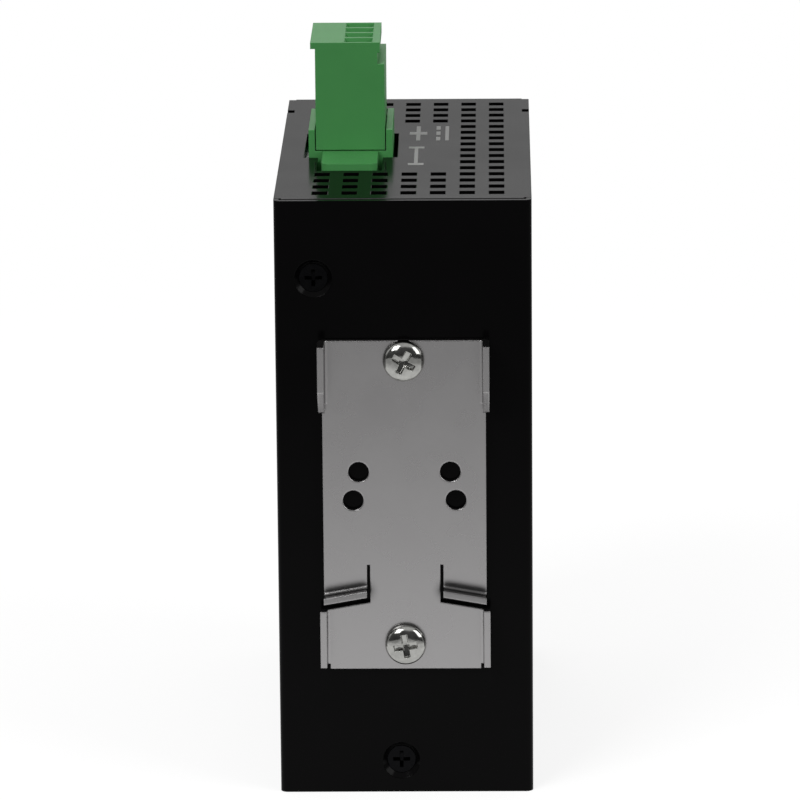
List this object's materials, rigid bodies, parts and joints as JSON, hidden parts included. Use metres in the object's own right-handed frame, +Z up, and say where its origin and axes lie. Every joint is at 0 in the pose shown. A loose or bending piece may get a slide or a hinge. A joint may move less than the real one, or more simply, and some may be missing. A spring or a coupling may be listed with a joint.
{
  "type": "din rail ethernet switch",
  "caption": "Slim industrial Ethernet switch in a vented folded-steel case, with a sprung steel clip for a top-hat rail on its rear and a green pull-off power plug on top.",
  "frame": {"origin": "middle of the base, under the middle of the whole width and depth", "axes": "+Z up, -Y out of the front with the ports, +Y out of the rear with the rail clip"},
  "size_m": [0.048, 0.1028, 0.1372],
  "materials": {
    "case_black": "semi-gloss",
    "clip_steel": "nickel plated, satin",
    "bright_steel": "bright plated",
    "black_steel": "black oxide",
    "zinc_steel": "zinc plated",
    "board_green": "solder mask",
    "port_tin": "tin plated",
    "port_black": "matte",
    "contact_gold": "gold plated",
    "lamp_green": "translucent",
    "lamp_amber": "translucent",
    "terminal_green": "satin moulded",
    "part_black": "moulded",
    "sink_black": "black anodised",
    "can_aluminium": "sleeved"
  },
  "bodies": {
    "switch": {"board_screws": "zinc_steel", "board_standoffs": "zinc_steel", "capacitor_1": "can_aluminium", "capacitor_2": "can_aluminium", "capacitor_3": "can_aluminium", "chassis": "case_black", "clip_nuts": "zinc_steel", "clip_screws": "bright_steel", "cover": "case_black", "cover_screws": "black_steel", "din_clip": "clip_steel", "header_pins": "port_tin", "heat_sink": "sink_black", "lamp_holder": "part_black", "main_board": "board_green", "port_1_contacts": "contact_gold", "port_1_insert": "port_black", "port_1_lamps": "lamp_green", "port_1_magnetics": "part_black", "port_1_shield": "port_tin", "port_2_contacts": "contact_gold", "port_2_insert": "port_black", "port_2_lamps": "lamp_green", "port_2_magnetics": "part_black", "port_2_shield": "port_tin", "port_3_contacts": "contact_gold", "port_3_insert": "port_black", "port_3_lamps": "lamp_green", "port_3_magnetics": "part_black", "port_3_shield": "port_tin", "port_4_contacts": "contact_gold", "port_4_insert": "port_black", "port_4_lamps": "lamp_green", "port_4_magnetics": "part_black", "port_4_shield": "port_tin", "port_5_contacts": "contact_gold", "port_5_insert": "port_black", "port_5_lamps": "lamp_green", "port_5_magnetics": "part_black", "port_5_shield": "port_tin", "power_header": "terminal_green", "power_inductor": "part_black", "power_transformer": "part_black", "status_lamp_1": "lamp_green", "status_lamp_2": "lamp_green", "status_lamp_3": "lamp_amber", "switch_chip": "part_black"},
    "plug": {"plug_housing": "terminal_green", "plug_cages": "zinc_steel", "plug_screws": "zinc_steel", "plug_contacts": "port_tin"}
  },
  "joints": [
    {"name": "plug_pull", "type": "slide", "parent": "switch", "child": "plug", "axis": [0, 0, 1], "range_m": [0, 0.012]}
  ]
}
